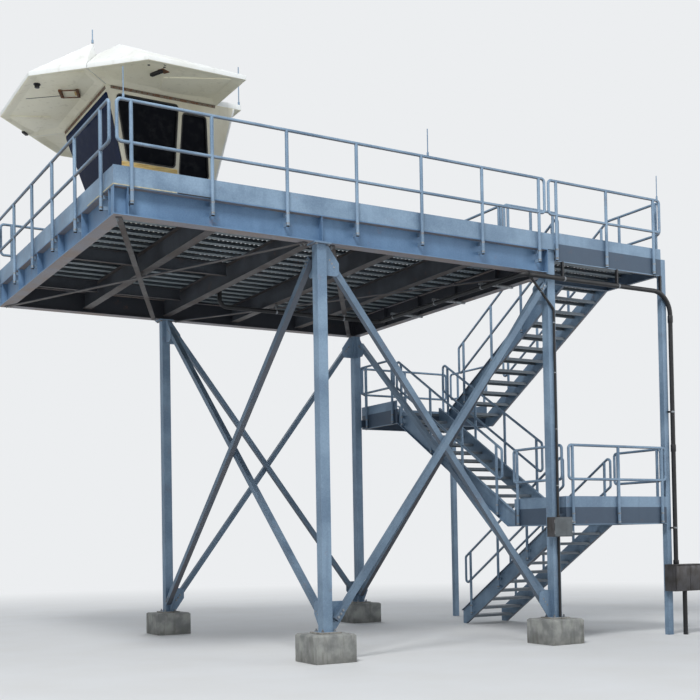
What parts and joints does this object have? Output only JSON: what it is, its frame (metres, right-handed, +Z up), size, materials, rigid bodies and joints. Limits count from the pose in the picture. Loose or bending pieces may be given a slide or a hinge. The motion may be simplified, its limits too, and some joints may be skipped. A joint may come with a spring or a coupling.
{
  "type": "lifeguard tower",
  "caption": "Raised lifeguard lookout: braced galvanised steel platform with guard rails, a switchback stair on one side and a small moulded cab with raised window shutters.",
  "frame": {"origin": "on the ground, under the middle of the tower's outline", "axes": "+X along the platform from the cab to the stair, +Y from the near side to the far side, +Z up"},
  "size_m": [10.665, 6.74, 9.109],
  "materials": {
    "galvanised_steel": "weathered galvanised, matt",
    "concrete": "rough cast concrete",
    "cab_shell": "weathered moulded shell, cream",
    "white_shell": "weathered moulded shell, white",
    "tinted_glass": "dark tinted",
    "black_conduit": "satin black",
    "stainless": "brushed, weathered"
  },
  "bodies": {
    "root": {"plinths": "concrete", "main_columns": "galvanised_steel", "stair_posts": "galvanised_steel", "long_side_braces": "galvanised_steel", "short_side_braces": "galvanised_steel", "brace_gussets": "galvanised_steel", "long_girders": "galvanised_steel", "end_girders": "galvanised_steel", "floor_beams": "galvanised_steel", "deck_bracing": "galvanised_steel", "deck_planks": "galvanised_steel", "toe_boards": "galvanised_steel", "near_guard_rail": "galvanised_steel", "far_guard_rail": "galvanised_steel", "cab_end_guard_rail": "galvanised_steel", "stair_end_guard_rail": "galvanised_steel", "top_landing": "galvanised_steel", "top_landing_rails": "galvanised_steel", "middle_landing": "galvanised_steel", "middle_landing_rails": "galvanised_steel", "lower_landing": "galvanised_steel", "lower_landing_rails": "galvanised_steel", "landing_planks": "galvanised_steel", "upper_flight_stringers": "galvanised_steel", "upper_flight_treads": "galvanised_steel", "upper_flight_handrails": "galvanised_steel", "middle_flight_stringers": "galvanised_steel", "middle_flight_treads": "galvanised_steel", "middle_flight_handrails": "galvanised_steel", "lower_flight_stringers": "galvanised_steel", "lower_flight_treads": "galvanised_steel", "lower_flight_handrails": "galvanised_steel", "cab_floor": "cab_shell", "cab_near_wall": "cab_shell", "cab_far_wall": "cab_shell", "cab_end_wall": "cab_shell", "cab_door_wall": "cab_shell", "cab_door": "white_shell", "cab_windows": "tinted_glass", "cab_roof": "white_shell", "near_shutter": "white_shell", "far_shutter": "white_shell", "end_shutter": "white_shell", "lightning_rods": "galvanised_steel", "conduits": "black_conduit", "electrical_boxes": "stainless"}
  },
  "joints": []
}
